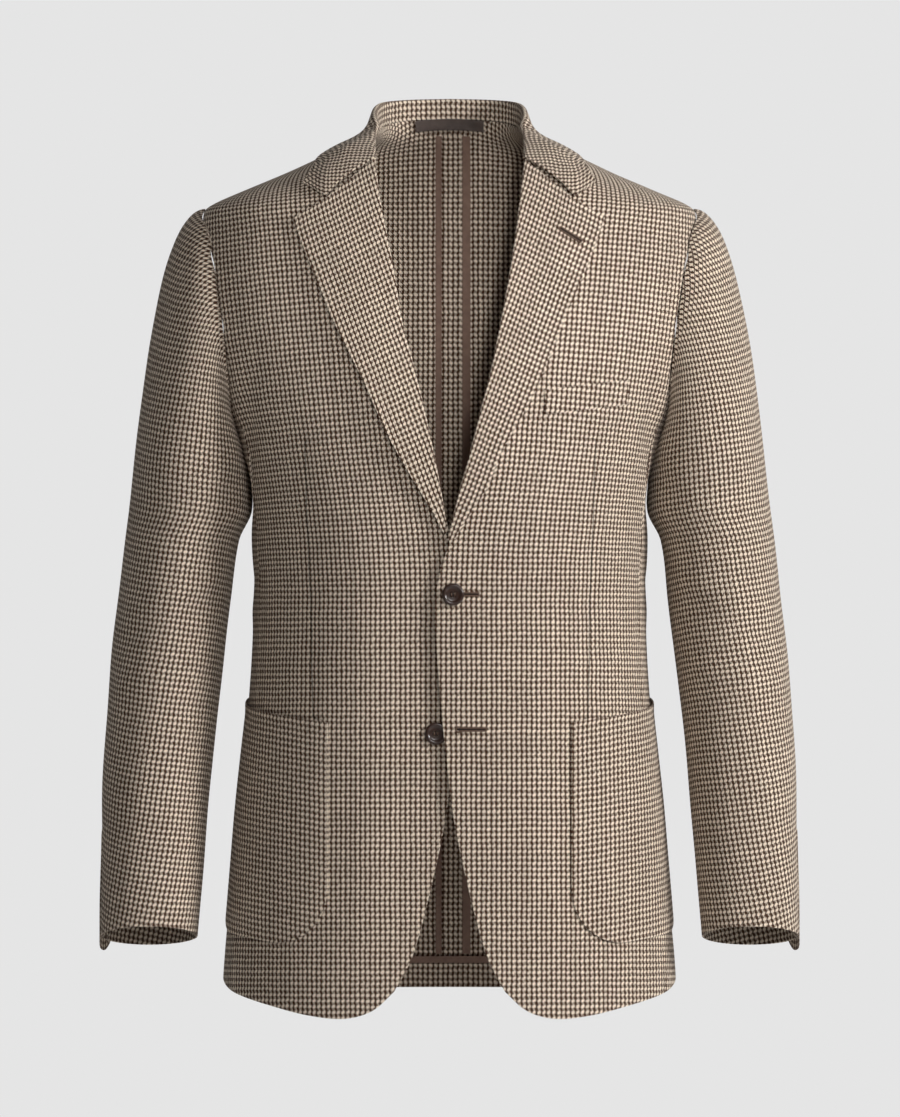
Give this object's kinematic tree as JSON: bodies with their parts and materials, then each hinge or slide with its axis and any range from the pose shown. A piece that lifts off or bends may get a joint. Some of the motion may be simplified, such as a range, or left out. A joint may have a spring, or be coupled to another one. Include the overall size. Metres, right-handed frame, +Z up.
{
  "type": "linen blazer",
  "caption": "Single-breasted two-button blazer in small houndstooth, filled out as worn and hollow, with notch lapels, patch hip pockets and set-in sleeves.",
  "frame": {"origin": "base of the neck, in the middle of the neck opening, where the wearer's neck and shoulders carry the garment", "axes": "+Z up, -Y the way the front faces, +X towards the wearer's left"},
  "size_m": [0.6256, 0.2842, 0.8174],
  "materials": {
    "cloth": "matte woven linen, brown and cream houndstooth",
    "tape": "matte brown binding tape",
    "satin": "dark brown satin",
    "horn": "polished dark horn"
  },
  "bodies": {
    "root": {"front_left": "cloth", "front_right": "cloth", "side_left": "cloth", "side_right": "cloth", "back_left": "cloth", "back_right": "cloth", "lapel_left": "cloth", "lapel_right": "cloth", "collar": "cloth", "sleeve_top_left": "cloth", "sleeve_top_right": "cloth", "sleeve_under_left": "cloth", "sleeve_under_right": "cloth", "vent_left": "cloth", "vent_right": "cloth", "pocket_left": "cloth", "pocket_right": "cloth", "chest_welt": "cloth", "seam_allowance": "cloth", "hem_facing": "cloth", "seam_tape_left": "tape", "seam_tape_right": "tape", "hem_tape": "tape", "hanger_loop": "satin", "button_top": "horn", "button_lower": "horn"}
  },
  "joints": []
}
